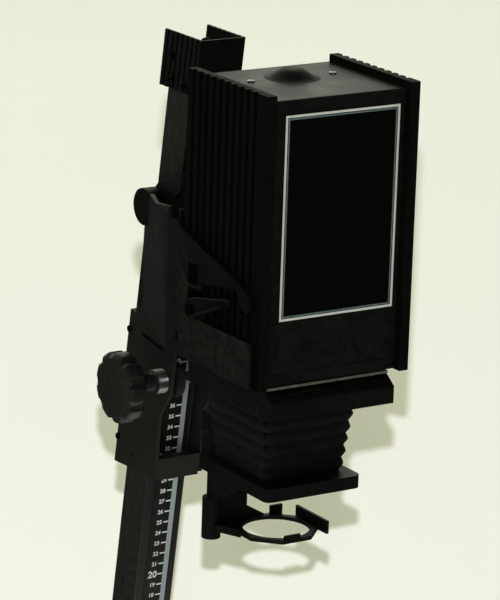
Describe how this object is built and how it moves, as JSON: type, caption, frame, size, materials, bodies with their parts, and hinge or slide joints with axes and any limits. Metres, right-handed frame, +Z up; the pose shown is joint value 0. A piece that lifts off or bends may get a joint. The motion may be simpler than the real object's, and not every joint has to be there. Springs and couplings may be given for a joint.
{
  "type": "photographic enlarger",
  "caption": "Darkroom enlarger for small-format film: leaning column, sliding head with lift-up lamphouse, bellows focusing and swing-out filter tray.",
  "frame": {"origin": "middle of the rectangle that the four rubber feet and the baseboard cover, on the surface it stands on", "axes": "+Z up; -Y is the front, where the user sits; +X is the user's right; the column stands near the +Y edge and leans to -Y"},
  "size_m": [0.406, 0.457, 0.7024],
  "materials": {
    "bellows": "pleated black cloth",
    "black_steel": "blackened",
    "board": "white-grey melamine on chipboard",
    "carrier": "black anodised, bright front edge",
    "cast": "black semi-matte paint on die casting",
    "ceramic": "glazed porcelain",
    "chrome": "bright",
    "column": "black anodised extrusion",
    "heat_glass": "heat absorbing",
    "knob": "moulded black, slightly glossy",
    "label": "satin black label with a white border",
    "lamp_glass": "opal",
    "lens_metal": "black anodised",
    "nylon": "natural nylon",
    "optical_glass": "polished",
    "plastic": "fine-grained black moulding",
    "rubber": "matte",
    "scale": "black strip with white graduations",
    "sheet": "satin black sheet",
    "spring": "spring steel",
    "stage": "black, glossy front bevel",
    "steel": "zinc plated"
  },
  "bodies": {
    "stand": {"baseboard": "board", "rubber_feet": "rubber", "column_foot": "cast", "foot_bolts": "steel", "column": "column", "scale_strip": "scale", "column_cap": "cast", "cap_screws": "black_steel", "drum_axle": "black_steel", "counterbalance_strip": "spring"},
    "spring_drum": {"spring_drum": "plastic"},
    "carriage": {"sleeve_left": "cast", "sleeve_right": "cast", "sleeve_rear_cover": "cast", "sleeve_front_cover": "cast", "front_crosspiece": "cast", "sleeve_screws": "black_steel", "glide_pads": "nylon", "shaft_collar": "chrome", "yoke_arm_left": "cast", "yoke_arm_right": "cast", "yoke_plate": "sheet", "yoke_screws": "steel", "negative_stage": "stage", "guide_rods": "chrome", "bellows": "bellows", "focus_rail": "cast"},
    "elevation_drive": {"drive_shaft": "steel", "drive_wheel": "rubber", "elevation_knob": "knob"},
    "lock_screw": {"lock_knob": "knob"},
    "lamphouse": {"side_panel_left": "cast", "side_panel_right": "cast", "front_panel": "sheet", "label_plate": "label", "rear_panel": "sheet", "top_plate": "sheet", "floor_plate": "sheet", "cord_gland": "plastic", "dome_cap": "plastic", "top_screws": "chrome", "lamp_socket": "ceramic", "lamp_bulb": "lamp_glass", "condenser_housing": "sheet", "condenser_lower": "optical_glass", "condenser_upper": "optical_glass", "heat_glass": "heat_glass"},
    "lift_lever": {"lift_lever": "plastic", "lift_cam": "plastic", "lift_pin": "black_steel"},
    "filter_drawer": {"filter_drawer": "plastic"},
    "negative_carrier": {"negative_carrier": "carrier"},
    "lens_stage": {"lens_stage": "plastic", "lens_ring": "lens_metal", "filter_post": "plastic"},
    "focus_drive": {"focus_shaft": "steel", "focus_knob": "knob"},
    "filter_tray": {"filter_tray": "plastic"}
  },
  "joints": [
    {"name": "carriage_slide", "type": "slide", "parent": "stand", "child": "carriage", "axis": [0, -0.1499, 0.9887], "range_m": [-0.215, 0.06], "deforming": ["counterbalance_strip"]},
    {"name": "elevation_turn", "type": "hinge", "parent": "carriage", "child": "elevation_drive", "pos_m": [-0.04, 0.09455, 0.40788], "axis": [1, 0, 0], "range_deg": [-235, 830]},
    {"name": "drum_turn", "type": "hinge", "parent": "stand", "child": "spring_drum", "pos_m": [0, 0.09724, 0.68239], "axis": [1, 0, 0], "range_deg": [-1345, 380]},
    {"name": "lock_turn", "type": "hinge", "parent": "carriage", "child": "lock_screw", "pos_m": [0.03, 0.13259, 0.3651], "axis": [1, 0, 0], "range_deg": [0, 180]},
    {"name": "lamphouse_lift", "type": "slide", "parent": "carriage", "child": "lamphouse", "axis": [0, 0, 1], "range_m": [0, 0.008]},
    {"name": "lever_turn", "type": "hinge", "parent": "lamphouse", "child": "lift_lever", "pos_m": [-0.0745, -0.0305, 0.5078], "axis": [1, 0, 0], "range_deg": [0, 48.2]},
    {"name": "drawer_slide", "type": "slide", "parent": "lamphouse", "child": "filter_drawer", "axis": [0, -1, 0], "range_m": [0, 0.085]},
    {"name": "carrier_slide", "type": "slide", "parent": "carriage", "child": "negative_carrier", "axis": [0, -1, 0], "range_m": [0, 0.088]},
    {"name": "focus_slide", "type": "slide", "parent": "carriage", "child": "lens_stage", "axis": [0, 0, 1], "range_m": [-0.018, 0.012], "deforming": ["bellows"]},
    {"name": "focus_turn", "type": "hinge", "parent": "lens_stage", "child": "focus_drive", "pos_m": [0.04, 0.0221, 0.384], "axis": [1, 0, 0], "range_deg": [-170, 115]},
    {"name": "tray_swing", "type": "hinge", "parent": "lens_stage", "child": "filter_tray", "pos_m": [-0.0405, -0.0145, 0.324], "axis": [0, 0, 1], "range_deg": [-95, 0]}
  ],
  "couplings": [
    {"joint": "elevation_turn", "follows": "carriage_slide", "rad_per_m": -66.89},
    {"joint": "drum_turn", "follows": "carriage_slide", "rad_per_m": 108.7},
    {"joint": "lever_turn", "follows": "lamphouse_lift", "rad_per_m": 104.72},
    {"joint": "focus_turn", "follows": "focus_slide", "rad_per_m": 160}
  ]
}
